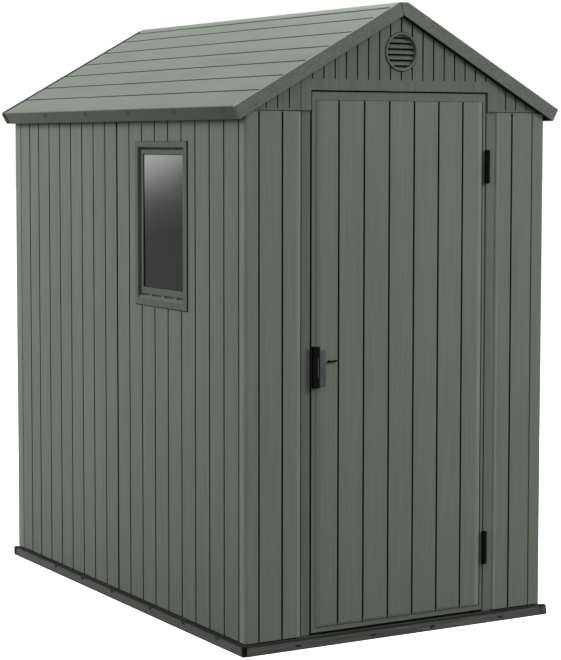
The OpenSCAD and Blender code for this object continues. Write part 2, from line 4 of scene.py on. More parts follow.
import bmesh
import bpy
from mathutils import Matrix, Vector

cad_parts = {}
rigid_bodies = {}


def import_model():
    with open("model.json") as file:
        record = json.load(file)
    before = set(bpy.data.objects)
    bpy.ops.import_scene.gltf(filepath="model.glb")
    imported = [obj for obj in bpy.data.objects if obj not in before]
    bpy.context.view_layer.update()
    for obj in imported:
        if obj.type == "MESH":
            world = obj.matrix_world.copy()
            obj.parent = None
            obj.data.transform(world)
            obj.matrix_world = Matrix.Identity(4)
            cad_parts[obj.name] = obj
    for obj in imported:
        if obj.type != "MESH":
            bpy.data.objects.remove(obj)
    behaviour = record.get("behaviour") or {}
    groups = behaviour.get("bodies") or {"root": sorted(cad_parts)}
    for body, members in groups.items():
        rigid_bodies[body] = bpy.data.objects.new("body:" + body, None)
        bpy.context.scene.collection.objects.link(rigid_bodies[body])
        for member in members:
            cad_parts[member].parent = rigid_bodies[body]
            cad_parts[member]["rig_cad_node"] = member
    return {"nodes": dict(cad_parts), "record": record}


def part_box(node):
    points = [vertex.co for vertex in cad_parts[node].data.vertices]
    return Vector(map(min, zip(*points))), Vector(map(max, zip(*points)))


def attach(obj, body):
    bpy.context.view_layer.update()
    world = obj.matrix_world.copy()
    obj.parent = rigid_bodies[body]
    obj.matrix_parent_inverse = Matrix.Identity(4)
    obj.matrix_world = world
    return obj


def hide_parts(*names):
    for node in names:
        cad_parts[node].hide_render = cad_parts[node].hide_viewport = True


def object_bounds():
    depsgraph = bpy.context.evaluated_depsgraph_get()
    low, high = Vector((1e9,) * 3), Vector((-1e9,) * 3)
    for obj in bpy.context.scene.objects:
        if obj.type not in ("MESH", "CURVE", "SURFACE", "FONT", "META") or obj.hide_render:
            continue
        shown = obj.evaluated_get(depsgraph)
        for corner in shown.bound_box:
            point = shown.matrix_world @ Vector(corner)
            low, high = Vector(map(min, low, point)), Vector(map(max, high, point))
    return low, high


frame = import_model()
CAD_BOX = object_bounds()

bl_info = {
    "name": "Garden shed finish",
    "version": (1, 0, 0),
    "blender": (4, 5, 0),
    "location": "3D View > Sidebar > Shed",
    "description": "Finishes a moulded-plastic tool shed: plastics, glazing, door furniture and a pale studio",
    "category": "Object",
}

NODES = frame["nodes"]
RECORD = frame["record"]
SLOTS = {s["node"]: s["material_slot"] for s in RECORD["subparts"]}
BODY = {n: body for body, names in RECORD["behaviour"]["bodies"].items() for n in names}


def colour_property(name, description, default):
    return bpy.props.FloatVectorProperty(
        name=name, description=description, subtype="COLOR", size=3, min=0, max=1, default=default
    )


def srgb(*values):
    """A colour written as 0 to 255 screen values, as linear light."""
    out = []
    for v in values:
        v = v / 255
        out.append(v / 12.92 if v <= 0.04045 else ((v + 0.055) / 1.055) ** 2.4)
    return tuple(out)


class ShedFinish(bpy.types.PropertyGroup):
    wall_colour: colour_property("Walls", "Plastic of the walls and posts", srgb(104, 109, 102))
    door_colour: colour_property("Door", "Plastic of the door", srgb(103, 108, 101))
    frame_colour: colour_property("Window frame", "Plastic of the window's frame, sash and sill", srgb(84, 89, 82))
    gable_colour: colour_property("Gables", "Plastic of the gables and the vents", srgb(91, 96, 90))
    barge_colour: colour_property("Barge boards", "Plastic of the boards along the gables", srgb(101, 106, 100))
    roof_colour: colour_property("Roof", "Plastic of the roof panels and ridge cap", srgb(84, 89, 83))
    fascia_colour: colour_property("Fascias", "Plastic of the boards along the eaves", srgb(67, 71, 65))
    # the border and the recess are smooth plastic, painted darker than the boards as shade in the sunk band
    border_shade_colour: colour_property("Borders", "Smooth sunk plastic round the door's boards", srgb(95, 100, 94))
    recess_shade_colour: colour_property("Recess", "Smooth sunk plastic left of the doorway", srgb(88, 93, 87))
    # painted highlight on rounded edges that look to the right and on the posts' corners
    edge_highlight_colour: colour_property("Rounded edges", "Polished plastic on the rounded edges", srgb(114, 119, 112))
    # painted shade in grooves, creases, gaps and under overhangs
    groove_shade_colour: colour_property("Grooves", "Dirt and shade in the moulded grooves", srgb(34, 37, 33))
    floor_colour: colour_property("Floor", "Plastic of the floor mouldings", srgb(67, 67, 66))
    black_colour: colour_property("Black parts", "Hinges, grip and latch", srgb(6, 6, 7))
    grey_colour: colour_property("Handle plate", "Plate beside the grip", srgb(70, 69, 71))
    # painted reflection: the light head of the glazing stands for the backdrop seen in it
    glass_reflection_colour: colour_property("Glazing, top", "Hazy film at the head of the window", srgb(166, 167, 167))
    glass_foot_colour: colour_property("Glazing, foot", "Smoked sheet at the foot of the window", srgb(16, 17, 18))
    gasket_width: bpy.props.FloatProperty(
        name="Gasket", description="Width of the gasket round the window's sheet", default=0.0012, min=0.0005,
        unit="LENGTH",
    )
    plug_radius: bpy.props.FloatProperty(
        name="Plug radius", description="Radius of the plugs on the fascias", default=0.009, min=0.003, unit="LENGTH"
    )
    edge_radius: bpy.props.FloatProperty(
        name="Edge radius", description="Radius of the mouldings' edges", default=0.0012, min=0.0002, unit="LENGTH"
    )
    grain_depth: bpy.props.FloatProperty(
        name="Grain depth", description="Depth of the wood grain moulded into the boards", default=0.0006, min=0,
        unit="LENGTH",
    )


def lamp_property(name, description, default):
    return bpy.props.FloatProperty(name=name, description=description, default=default, min=0, unit="POWER")


class ShedStudio(bpy.types.PropertyGroup):
    front_lamp: lamp_property("Front lamp", "Power of the lamp above the front right", 208)
    fill_lamp: lamp_property("Fill lamp", "Power of the low lamp at the front left", 45)
    side_lamp: lamp_property("Side lamp", "Power of the lamp above the left side", 175)
    top_lamp: lamp_property("Top lamp", "Power of the lamp overhead", 380)
    back_lamp: lamp_property("Back lamp", "Power of the lamp above the back right", 60)
    sky_strength: bpy.props.FloatProperty(
        name="Sky", description="Strength of the even light from all round", default=0.72, min=0
    )
    focal_length: bpy.props.FloatProperty(
        name="Focal length", description="Camera's focal length in millimetres", default=109.64, min=20
    )
    camera_place: bpy.props.FloatVectorProperty(
        name="Camera", description="Where the camera stands", subtype="TRANSLATION", unit="LENGTH",
        default=(-3.6104, -6.2940, 1.6045),
    )
    camera_turn: bpy.props.FloatProperty(
        name="Turn", description="Camera's turn to the right of straight ahead", subtype="ANGLE",
        default=math.radians(29.737),
    )
    camera_dip: bpy.props.FloatProperty(
        name="Dip", description="Camera's tilt below level", subtype="ANGLE", default=math.radians(4.158)
    )
    camera_shift: bpy.props.FloatVectorProperty(
        name="Shift", description="Lens shift sideways and upwards", size=2, default=(0.0346, -0.063)
    )


# ------------------------------------------------------------------ tools
def deselect():
    """Leaves edit mode and selects nothing."""
    if bpy.context.mode != "OBJECT":
        bpy.ops.object.mode_set(mode="OBJECT")
    bpy.ops.object.select_all(action="DESELECT")


def take(piece):
    """Selects one object alone and makes it active."""
    deselect()
    bpy.context.view_layer.objects.active = piece
    piece.select_set(True)
    return piece


def settle(piece, name, slot, finish=None, body="shed"):
    """Puts a finished piece at the origin, names it and hangs it on its body.

    Its finish is the one that its slot names, unless another is given."""
    take(piece)
    bpy.ops.object.transform_apply(location=True, rotation=True, scale=True)
    piece.name = name
    piece.data.name = name
    piece.data.materials.clear()
    piece.data.materials.append(FINISHES[finish or slot])
    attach(piece, body)


# ------------------------------------------------------------------ finishes
class Finish:
    """A material under construction, with short ways to add and join nodes."""

    def __init__(self, name):
        self.material = bpy.data.materials.new(name)
        self.material.use_nodes = True
        self.tree = self.material.node_tree
        self.shader = self.tree.nodes["Principled BSDF"]
        self.place = self.add("ShaderNodeTexCoord").outputs["Object"]

    def add(self, kind, **values):
        node = self.tree.nodes.new(kind)
        for key, value in values.items():
            setattr(node, key, value)
        return node

    def join(self, a, b):
        self.tree.links.new(a, b)

    def stretched(self, scale):
        """The place on the object, scaled along each axis."""
        node = self.add("ShaderNodeMapping")
        node.inputs["Scale"].default_value = scale
        self.join(self.place, node.inputs["Vector"])
        return node.outputs["Vector"]

    def noise(self, vector, scale, detail=3, roughness=0.5):
        node = self.add("ShaderNodeTexNoise")
        node.inputs["Scale"].default_value = scale
        node.inputs["Detail"].default_value = detail
        node.inputs["Roughness"].default_value = roughness
        self.join(vector, node.inputs["Vector"])
        return node.outputs["Fac"]

    def span(self, value, low, high, to_low=0, to_high=1):
        """The value, mapped from one range to another and held inside it."""
        node = self.add("ShaderNodeMapRange")
        for key, v in zip(("From Min", "From Max", "To Min", "To Max"), (low, high, to_low, to_high)):
            node.inputs[key].default_value = v
        self.join(value, node.inputs["Value"])
        return node.outputs["Result"]

    def sums(self, operation, a, b):
        """Arithmetic on two values, each a socket or a number."""
        node = self.add("ShaderNodeMath", operation=operation)
        for slot, v in zip(node.inputs, (a, b)):
            if isinstance(v, (int, float)):
                slot.default_value = v
            else:
                self.join(v, slot)
        return node.outputs["Value"]

    def mix(self, factor, a, b, blend="MIX"):
        """A blend of two colours; each of the three may be a socket."""
        node = self.add("ShaderNodeMix", data_type="RGBA", blend_type=blend)
        for slot, v in ((node.inputs["Factor"], factor), (node.inputs[6], a), (node.inputs[7], b)):
            if isinstance(v, (int, float)):
                slot.default_value = v
            elif isinstance(v, bpy.types.NodeSocket):
                self.join(v, slot)
            else:
                slot.default_value = (*v[:3], 1)
        return node.outputs[2]

    def grey(self, value):
        """A grey of the value's brightness."""
        node = self.add("ShaderNodeCombineColor")
        for slot in node.inputs[:3]:
            self.join(value, slot)
        return node.outputs["Color"]

    def bump(self, height, strength, distance):
        node = self.add("ShaderNodeBump")
        node.inputs["Strength"].default_value = strength
        node.inputs["Distance"].default_value = distance
        self.join(height, node.inputs["Height"])
        self.join(node.outputs["Normal"], self.shader.inputs["Normal"])


def scaled(colour, k):
    """The colour, lighter or darker by a factor."""
    return tuple(min(1, c * k) for c in colour)


# Gloss of matte plastic, and the shares of fine lines and broad clouds in its tone
MATTE_GLOSS = 0.06
FINE_SHARE, BROAD_SHARE = 0.75, 0.25
# How far up the wall the painted shade at its foot reaches, and how far from the middle the painted shade towards the
# front does
FOOT_SHADE_HEIGHT, FRONT_SHADE_DEPTH = 0.9, 0.9
# Height of the window's painted reflection from its start to its full strength, and the stops of its tone between them
REFLECTION_LOW, REFLECTION_HIGH = 1.28, 1.6
REFLECTION_STOPS = (
    (0.12, 0.0), (0.27, 0.03), (0.43, 0.085), (0.54, 0.17), (0.64, 0.29), (0.75, 0.48), (0.84, 0.68), (1, 1),
)
# Place of the window's middle along the wall, how much the painted reflection leans about it and how uneven it is
WINDOW_Y, REFLECTION_LEAN, REFLECTION_DRIFT = -0.336, 0.2, 0.06


def moulded_plastic(name, colour, grain=(110, 110, 3), roughness=0.55, depth=0.0006, speckle=0.0, foot=1, front=1,
                    contrast=0.14):
    """Matte moulded plastic with an embossed wood grain along its boards.

    It is painted darker towards the foot of the wall and towards the front by the two factors, as shade."""
    f = Finish(name)
    lines = f.noise(f.stretched(grain), 1.0, 5, 0.7)
    broad = f.noise(f.stretched((3, 3, 0.8)), 1.0, 2)
    tone = f.sums("ADD", f.sums("MULTIPLY", lines, FINE_SHARE), f.sums("MULTIPLY", broad, BROAD_SHARE))
    shade = f.mix(f.span(tone, 0.36, 0.64), scaled(colour, 1 - contrast), scaled(colour, 1 + contrast))
    # painted shade: darker towards the foot of the wall and towards its front
    if foot != 1 or front != 1:
        split = f.add("ShaderNodeSeparateXYZ")
        f.join(f.place, split.inputs["Vector"])
        foot_front_shade = f.sums("MULTIPLY", f.span(split.outputs["Z"], 0, FOOT_SHADE_HEIGHT, foot, 1),
                      f.span(split.outputs["Y"], -FRONT_SHADE_DEPTH, FRONT_SHADE_DEPTH, front, 2 - front))
        shade = f.mix(1, shade, f.grey(foot_front_shade), "MULTIPLY")
    if speckle:
        specks = f.noise(f.stretched((260, 260, 260)), 1.0, 2, 0.7)
        shade = f.mix(f.span(specks, 0.38, 0.62, 0, speckle), shade, scaled(colour, 0.6))
    f.join(shade, f.shader.inputs["Base Color"])
    f.join(f.span(lines, 0.3, 0.7, roughness - 0.05, roughness + 0.06), f.shader.inputs["Roughness"])
    f.shader.inputs["Specular IOR Level"].default_value = MATTE_GLOSS
    f.bump(lines, 0.4, depth)
    return f.material


def satin_plastic(name, colour, roughness=0.4, streaks=(14, 14, 14), contrast=0.35, gloss=0.12):
    """Smooth moulded plastic with faint rubbed streaks."""
    f = Finish(name)
    pits = f.noise(f.place, 900, 2)
    wear = f.noise(f.stretched(streaks), 1.0, 4, 0.6)
    f.join(f.mix(f.span(wear, 0.36, 0.66), scaled(colour, 1 - contrast / 2), scaled(colour, 1 + contrast)),
           f.shader.inputs["Base Color"])
    f.join(f.span(wear, 0.3, 0.7, roughness - 0.06, roughness + 0.08), f.shader.inputs["Roughness"])
    f.shader.inputs["Specular IOR Level"].default_value = gloss
    f.bump(pits, 0.15, 0.0002)
    return f.material


def smoked_sheet(name, top, foot):
    """Clear smoked sheet with a painted reflection, lighter towards its head and its back edge."""
    f = Finish(name)
    split = f.add("ShaderNodeSeparateXYZ")
    f.join(f.place, split.inputs["Vector"])
    reflection_noise = f.noise(f.stretched((4, 4, 1.5)), 1.0, 2)
    height = f.sums("ADD", split.outputs["Z"], f.sums("MULTIPLY", reflection_noise, REFLECTION_DRIFT))
    lean = f.sums("MULTIPLY", f.sums("SUBTRACT", split.outputs["Y"], WINDOW_Y), REFLECTION_LEAN)
    ramp = f.add("ShaderNodeValToRGB")
    f.join(f.span(f.sums("ADD", height, lean), REFLECTION_LOW, REFLECTION_HIGH), ramp.inputs["Fac"])
    while len(ramp.color_ramp.elements) < len(REFLECTION_STOPS):
        ramp.color_ramp.elements.new(0.5)
    for stop, (at, value) in zip(ramp.color_ramp.elements, REFLECTION_STOPS):
        stop.position = at
        stop.color = (value, value, value, 1)
    f.join(f.mix(ramp.outputs["Color"], foot, top), f.shader.inputs["Base Color"])
    f.shader.inputs["Roughness"].default_value = 0.12
    f.shader.inputs["Specular IOR Level"].default_value = 0.05
    f.shader.inputs["Transmission Weight"].default_value = 0.05
    return f.material


FINISHES = {}
# Nodes whose finish isn't the one that their slot names
SPECIAL = {
    "gable_front": "gable", "gable_back": "gable", "vent_front": "vent", "vent_back": "vent",
    "side_panel_left_front": "side", "side_panel_left_back": "side",
    "side_panel_right_front": "side", "side_panel_right_back": "side",
    "window_frame": "frame", "window_sash": "frame", "window_sill": "frame",
    "eave_fascia_left": "fascia", "eave_fascia_right": "fascia",
    "barge_front_left": "barge", "barge_front_right": "barge",
    "barge_back_left": "barge", "barge_back_right": "barge",
}


class SHED_OT_finishes(bpy.types.Operator):
    """Make every finish and give each CAD node its own"""

    bl_idname = "shed.finishes"
    bl_label = "Finishes"

    def execute(self, context):
        p = context.scene.shed_finish
        depth = p.grain_depth
        FINISHES.update(
            # the foot and front factors paint shade on the walls, door, corners and fascias
            wall_plastic=moulded_plastic("Wall plastic", p.wall_colour, depth=depth, foot=0.94, contrast=0.09),
            side=moulded_plastic("Side wall plastic", p.wall_colour, depth=depth, foot=0.82, front=0.95),
            door_plastic=moulded_plastic("Door plastic", p.door_colour, depth=depth, foot=0.95, contrast=0.09),
            roof_plastic=moulded_plastic("Roof plastic", p.roof_colour, grain=(110, 3, 110), depth=depth),
            frame=moulded_plastic("Frame plastic", p.frame_colour, depth=depth / 3),
            gable=moulded_plastic("Gable plastic", p.gable_colour, depth=depth),
            vent=moulded_plastic("Vent plastic", p.gable_colour, grain=(8, 75, 75), depth=depth / 3),
            barge=moulded_plastic("Barge plastic", p.barge_colour, grain=(9, 60, 16), speckle=0.8, depth=depth),
            fascia=moulded_plastic("Fascia plastic", p.fascia_colour, grain=(75, 3, 75), depth=depth, front=0.75),
            # smooth plastic of the sunk band, painted darker as shade
            border=satin_plastic("Border plastic", p.border_shade_colour, 0.5, (60, 60, 2), 0.08, 0.06),
            recess=satin_plastic("Recess plastic", p.recess_shade_colour, 0.5, (60, 60, 2), 0.08, 0.06),
            # painted highlights on the posts' corners and on rounded edges
            corner=moulded_plastic("Corner plastic", scaled(p.edge_highlight_colour, 1.13), depth=depth / 3, foot=0.95),
            edge=moulded_plastic("Edge plastic", p.edge_highlight_colour, depth=depth / 3),
            plug=satin_plastic("Plug plastic", scaled(p.fascia_colour, 0.55), 0.5, (40, 40, 40), 0.2, 0.08),
            # painted shade in grooves, creases and gaps
            groove=satin_plastic("Groove shade", p.groove_shade_colour, 0.7, (9, 9, 9), 0.15, 0.05),
            floor_plastic=satin_plastic("Floor plastic", p.floor_colour, 0.55, (6, 6, 150), 0.4, 0.08),
            black_plastic=satin_plastic("Black plastic", p.black_colour, gloss=0.03),
            handle_grey=satin_plastic("Grey plastic", p.grey_colour),
            hinge_steel=satin_plastic("Black steel", scaled(p.black_colour, 0.6), 0.35, gloss=0.03),
            # painted reflection on the glazing
            glazing=smoked_sheet("Smoked glazing", p.glass_reflection_colour, p.glass_foot_colour),
        )
        for name, node in NODES.items():
            node.data.materials.clear()
            node.data.materials.append(finish_of(name))
        return {"FINISHED"}


def finish_of(name):
    """A CAD node's finish."""
    return FINISHES[SPECIAL.get(name, SLOTS[name])]


# ------------------------------------------------------------------ mouldings
FRONT, BACK = Vector((0, -1, 0)), Vector((0, 1, 0))
LEFT, RIGHT = Vector((-1, 0, 0)), Vector((1, 0, 0))
UP = Vector((0, 0, 1))
# The materials of a moulding's copy, in order: its own one, and those that its faces are marked with, which paint shade
# and highlights on it
OWN, PAINTED_SHADE, BORDER_SHADE, EDGE_HIGHLIGHT, CORNER_HIGHLIGHT = range(5)
# Half the size of the walls, outside
WALL_X, WALL_Y = 0.5765, 0.902
# Width of the crease painted dark as shade above and below a border's boards, and at their right, where their step
# hides most of it
CREASE, SIDE_CREASE = 0.0015, 0.005
# Heights between which the foot of the walls is painted dark as shade, and the heights where the floor's skirt is so
# painted at its head and its foot
FOOT_LOW, FOOT_HIGH = 0.031, 0.0345
SKIRT_HEAD, SKIRT_FOOT = 0.0275, 0.0025
# How far below a moulding's top face its grooves and borders lie, at least and at most, and its boards end
SUNK = (0.003, 0.0125)
BOARD_DEPTH = 0.0065
# Widths under which a sunk face is a groove and a slanted one is a rounding
GROOVE_WIDTH, ROUNDING_WIDTH = 0.0095, 0.0075
# Which way each grooved moulding faces, and how wide the lips of its grooves painted dark as shade are
FACING = {
    "front_panel_left": (FRONT, 0.0014), "front_panel_right": (FRONT, 0.0014), "door_panel": (FRONT, 0.0014),
    "gable_front": (FRONT, 0.001), "gable_back": (BACK, 0.001),
    "back_panel_left": (BACK, 0.0014), "back_panel_right": (BACK, 0.0014),
    "side_panel_left_front": (LEFT, 0.0012), "side_panel_left_back": (LEFT, 0.0012),
    "side_panel_right_front": (RIGHT, 0.0012), "side_panel_right_back": (RIGHT, 0.0012),
    "roof_panel_left": (UP, 0.0008), "roof_panel_right": (UP, 0.0008),
}
# Mouldings with a sunk border round their boards, and the width of the strip at the boards' right painted lighter as a
# highlight
BORDERED = {"front_panel_left": 0.0135, "front_panel_right": 0, "door_panel": 0.019}
# Mouldings without boards, whose edges are rounded in the same way
PLAIN = (
    "post_front_left", "post_front_right", "post_back_left", "post_back_right", "floor_left", "floor_right",
    "barge_front_left", "barge_front_right", "barge_back_left", "barge_back_right", "ridge_cap",
    "eave_fascia_left", "eave_fascia_right", "window_frame", "window_sash", "window_sill",
    "handle_grip", "handle_plate", "latch_lever",
)


def merged_copy(name):
    """A copy of a CAD node, its loose triangles merged into flat faces."""
    take(NODES[name])
    bpy.ops.object.duplicate()
    copy = bpy.context.active_object
    bpy.ops.object.mode_set(mode="EDIT")
    bpy.ops.mesh.select_all(action="SELECT")
    bpy.ops.mesh.remove_doubles(threshold=0.00002)
    bpy.ops.mesh.dissolve_limited(angle_limit=math.radians(0.4))
    bpy.ops.object.mode_set(mode="OBJECT")
    del copy["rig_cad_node"]
    return copy


def sunk_faces(work, out, top):
    """The faces that look along out and lie below the top one."""
    return [f for f in work.faces if f.normal.dot(out) > 0.999 and SUNK[0] < top - f.verts[0].co.dot(out) < SUNK[1]]


def cut(work, at, away, faces):
    """Cuts some faces along the plane that crosses the away axis at a place."""
    parts = dict.fromkeys(part for f in faces for part in (f, *f.edges, *f.verts))
    place = Vector([at * abs(v) for v in away])
    bmesh.ops.bisect_plane(work, geom=list(parts), dist=0.00001, plane_co=place, plane_no=away)


def longest(face):
    """The length of a face from corner to corner."""
    return max((a.co - b.co).length for a in face.verts for b in face.verts)


def cut_border(work, out, top, highlight_strip):
    """Cuts the sunk band round the boards along their sides and marks it with painted shade, with a darker painted
    crease beside the boards.

    The strip of the boards themselves at their right, painted lighter as a highlight, is cut and marked too."""
    field = [v.co for v in work.verts if top - v.co.dot(out) < BOARD_DEPTH]
    left, right = min(v.x for v in field), max(v.x for v in field)
    foot, head = min(v.z for v in field), max(v.z for v in field)
    cuts = [(left, LEFT), (right, RIGHT), (right + SIDE_CREASE, RIGHT), (foot, -UP), (foot - CREASE, -UP)]
    for at, away in cuts + [(head, UP), (head + CREASE, UP)]:
        cut(work, at, away, sunk_faces(work, out, top))
    if highlight_strip:
        flat = [f for f in work.faces if f.normal.dot(out) > 0.999 and top - f.verts[0].co.dot(out) < 0.001]
        cut(work, right - highlight_strip, RIGHT, flat)
        for face in work.faces:
            if face.normal.dot(out) > 0.999 and right - highlight_strip < face.calc_center_median().x < right:
                face.material_index = EDGE_HIGHLIGHT
    for face in sunk_faces(work, out, top):
        c = face.calc_center_median()
        near = left < c.x < right + SIDE_CREASE and foot - CREASE < c.z < head + CREASE
        inside = left < c.x < right and foot < c.z < head
        if near and not inside:
            face.material_index = PAINTED_SHADE
        elif not inside:
            # a strip beside the boards that is narrower than this is left to be marked as a groove
            wide = max(v.co.x for v in face.verts) - min(v.co.x for v in face.verts) > 0.003
            face.material_index = BORDER_SHADE if wide or not foot < c.z < head else OWN


def mark_grooves(copy, out, lip, highlight_strip):
    """Marks the grooves, their sides and lips with painted shade, and the border and rounded edges of the boards with
    painted shade and highlights.
    """
    mesh = copy.data
    work = bmesh.new()
    work.from_mesh(mesh)
    if out == UP:
        out = max(work.faces, key=lambda f: f.calc_area() * (f.normal.z > 0.5)).normal.copy()
    top = max(v.co.dot(out) for v in work.verts)
    if highlight_strip is not None:
        cut_border(work, out, top, highlight_strip)
    mark_roundings(work, out)
    for face in sunk_faces(work, out, top):
        length = longest(face)
        if face.material_index == OWN and face.calc_area() / length < GROOVE_WIDTH:
            face.material_index = PAINTED_SHADE
            for edge in face.edges:
                for beside in edge.link_faces:
                    if edge.calc_length() > length / 2 and beside.normal.dot(out) < 0.5:
                        beside.material_index = PAINTED_SHADE
    for part in (*work.verts, *work.edges, *work.faces):
        part.select = False
    for edge in work.edges:
        sides = [f.material_index for f in edge.link_faces]
        faces_out = [f for f in edge.link_faces if f.normal.dot(out) > 0.999]
        if sorted(sides) == [OWN, PAINTED_SHADE] and len(faces_out) == 1 and faces_out[0].material_index == OWN:
            edge.select_set(True)
    work.to_mesh(mesh)
    work.free()
    take(copy)
    bpy.context.tool_settings.mesh_select_mode = (False, True, False)
    bpy.ops.object.mode_set(mode="EDIT")
    bpy.ops.mesh.bevel(offset=lip, segments=2, profile=0.5, affect="EDGES", clamp_overlap=True, material=PAINTED_SHADE)
    bpy.ops.object.mode_set(mode="OBJECT")


def mark_roundings(work, out):
    """Marks the narrow strips of a rounding: painted shade where they are steep, painted highlight where they look to
    the right.
    """
    for face in work.faces:
        length = longest(face)
        slanted = 0.02 < face.normal.dot(out) < 0.995
        if slanted and length > 0.3 and face.calc_area() / length < ROUNDING_WIDTH:
            if face.normal.dot(out) < 0.2:
                face.material_index = PAINTED_SHADE
            elif face.normal.x > 0.05:
                face.material_index = EDGE_HIGHLIGHT


def mark_faces(copy, number, test):
    """Gives a material to the faces whose normal and centre pass the test."""
    for face in copy.data.polygons:
        if test(face.normal, face.center):
            face.material_index = number


def mark_band(copy, number, low, high):
    """Gives the upright faces between two heights a material, cutting them there."""
    work = bmesh.new()
    work.from_mesh(copy.data)
    for at, away in ((low, UP), (high, UP), (-WALL_X, RIGHT), (WALL_X, RIGHT), (-WALL_Y, BACK), (WALL_Y, BACK)):
        cut(work, at, away, work.faces)
    for face in work.faces:
        if low < face.calc_center_median().z < high and abs(face.normal.z) < 0.5:
            face.material_index = number
    work.to_mesh(copy.data)
    work.free()


def mark_parts(copy, name):
    """Marks the faces painted with shade or with highlights, each kind of moulding in its own way."""
    low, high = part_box(name)
    kind = name.split("_")[0]
    if name == "door_panel":
        # painted shade on the door's edges, in the gap round it
        mark_faces(copy, PAINTED_SHADE, lambda n, c: n.y > -0.1 and not low.x + 0.001 < c.x < high.x - 0.001)
    elif name.startswith("barge_back"):
        # painted shade on the tops and ends of the back barge boards
        mark_faces(copy, PAINTED_SHADE, lambda n, c: n.z > 0.5 or n.z < -0.3 and abs(n.x) > 0.8)
    elif name.startswith("barge_front"):
        # painted shade under the front barge boards
        mark_faces(copy, PAINTED_SHADE, lambda n, c: n.z < -0.6)
    elif name == "window_frame":
        # painted shade on the frame's outer side and foot
        mark_faces(copy, PAINTED_SHADE, lambda n, c: n.y < -0.9 and c.y < low.y + 0.001 or n.z < -0.9 and c.z < low.z + 0.001)
    elif kind == "gable":
        # the seam under the gable keeps the gable's own colour, without painted shade
        mark_faces(copy, OWN, lambda n, c: c.z < low.z + 0.0045)
    elif kind == "floor":
        # painted shade at the head and foot of the floor's skirt and on its ledge outside the walls
        mark_band(copy, PAINTED_SHADE, SKIRT_HEAD, high.z + 0.001)
        mark_faces(copy, PAINTED_SHADE, lambda n, c: n.z > 0.5 and c.z > 0.02 and (abs(c.x) > WALL_X or abs(c.y) > WALL_Y))
        mark_band(copy, PAINTED_SHADE, low.z - 0.001, SKIRT_FOOT)
    elif kind == "post":
        # painted highlight on the smooth side behind the rounded corner, and a brighter one on the corner
        mark_faces(copy, EDGE_HIGHLIGHT, lambda n, c: n.x * math.copysign(1, c.x) > 0.999 and abs(c.x) > WALL_X - 0.001)
        mark_faces(copy, CORNER_HIGHLIGHT, lambda n, c: 0.55 < abs(n.x) < 0.999 and 0.05 < abs(n.y))
        # painted shade at the foot of the wall
        mark_band(copy, PAINTED_SHADE, FOOT_LOW, FOOT_HIGH)
    elif kind in ("side", "front", "back"):
        # painted shade at the foot of the wall
        mark_band(copy, PAINTED_SHADE, FOOT_LOW, FOOT_HIGH)
    if name == "front_panel_right":
        # the step up to its boards faces away from the brightest lamp, and is painted lighter as a highlight
        mark_faces(copy, CORNER_HIGHLIGHT, lambda n, c: n.x < -0.1 and low.x + 0.01 < c.x < low.x + 0.06 and c.z > FOOT_HIGH)


def round_edges(copy, radius):
    """Rounds every sharp edge and keeps the flat faces evenly lit."""
    take(copy)
    bevel = copy.modifiers.new("edges", "BEVEL")
    bevel.width = radius
    bevel.segments = 2
    bevel.limit_method = "ANGLE"
    bevel.angle_limit = math.radians(40)
    bevel.use_clamp_overlap = True
    bpy.ops.object.modifier_apply(modifier=bevel.name)
    bpy.ops.object.shade_smooth_by_angle(angle=math.radians(50))
    flats = copy.modifiers.new("flats", "WEIGHTED_NORMAL")
    flats.weight = 100
    flats.keep_sharp = True
    bpy.ops.object.modifier_apply(modifier=flats.name)


class SHED_OT_mouldings(bpy.types.Operator):
    """Round the edges of the mouldings, paint shade into their grooves and borders and paint highlights on their
    rounded edges
    """

    bl_idname = "shed.mouldings"
    bl_label = "Mouldings"

    def execute(self, context):
        radius = context.scene.shed_finish.edge_radius
        for name in (*FACING, *PLAIN):
            copy = merged_copy(name)
            shades = ["groove"]
            if name in FACING or name.startswith("post"):
                shades += ["recess" if name == "front_panel_left" else "border", "edge", "corner"]
            for shade in shades:
                copy.data.materials.append(FINISHES[shade])
            if name in FACING:
                mark_grooves(copy, *FACING[name], BORDERED.get(name))
            mark_parts(copy, name)
            round_edges(copy, radius)
            copy.name = copy.data.name = name + "_moulding"
            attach(copy, BODY[name])
            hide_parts(name)
        return {"FINISHED"}


# ------------------------------------------------------------------ details
def block(low, high, radius):
    """A box between two corners with its edges rounded; it is the active object."""
    deselect()
    size = [b - a for a, b in zip(low, high)]
    bpy.ops.mesh.primitive_cube_add(size=1, location=[(a + b) / 2 for a, b in zip(low, high)])
    piece = bpy.context.active_object
    piece.scale = size
    bpy.ops.object.transform_apply(location=True, rotation=True, scale=True)
    bpy.ops.object.mode_set(mode="EDIT")
    bpy.ops.mesh.select_all(action="SELECT")
    bpy.ops.mesh.bevel(offset=radius, segments=3, profile=0.5, affect="EDGES", clamp_overlap=True)
    bpy.ops.object.mode_set(mode="OBJECT")
    bpy.ops.object.shade_smooth_by_angle(angle=math.radians(35))
    return piece


def block_about(a, b, radius):
    """A rounded box between any two opposite corners."""
    return block([min(u, v) for u, v in zip(a, b)], [max(u, v) for u, v in zip(a, b)], radius)


def bar(size, radius, turn, place):
    """A rounded box of the size given, turned about the Y axis and then moved to its place."""
    piece = block([-v / 2 for v in size], [v / 2 for v in size], radius)
    piece.rotation_euler = (0, turn, 0)
    piece.location = place
    return piece


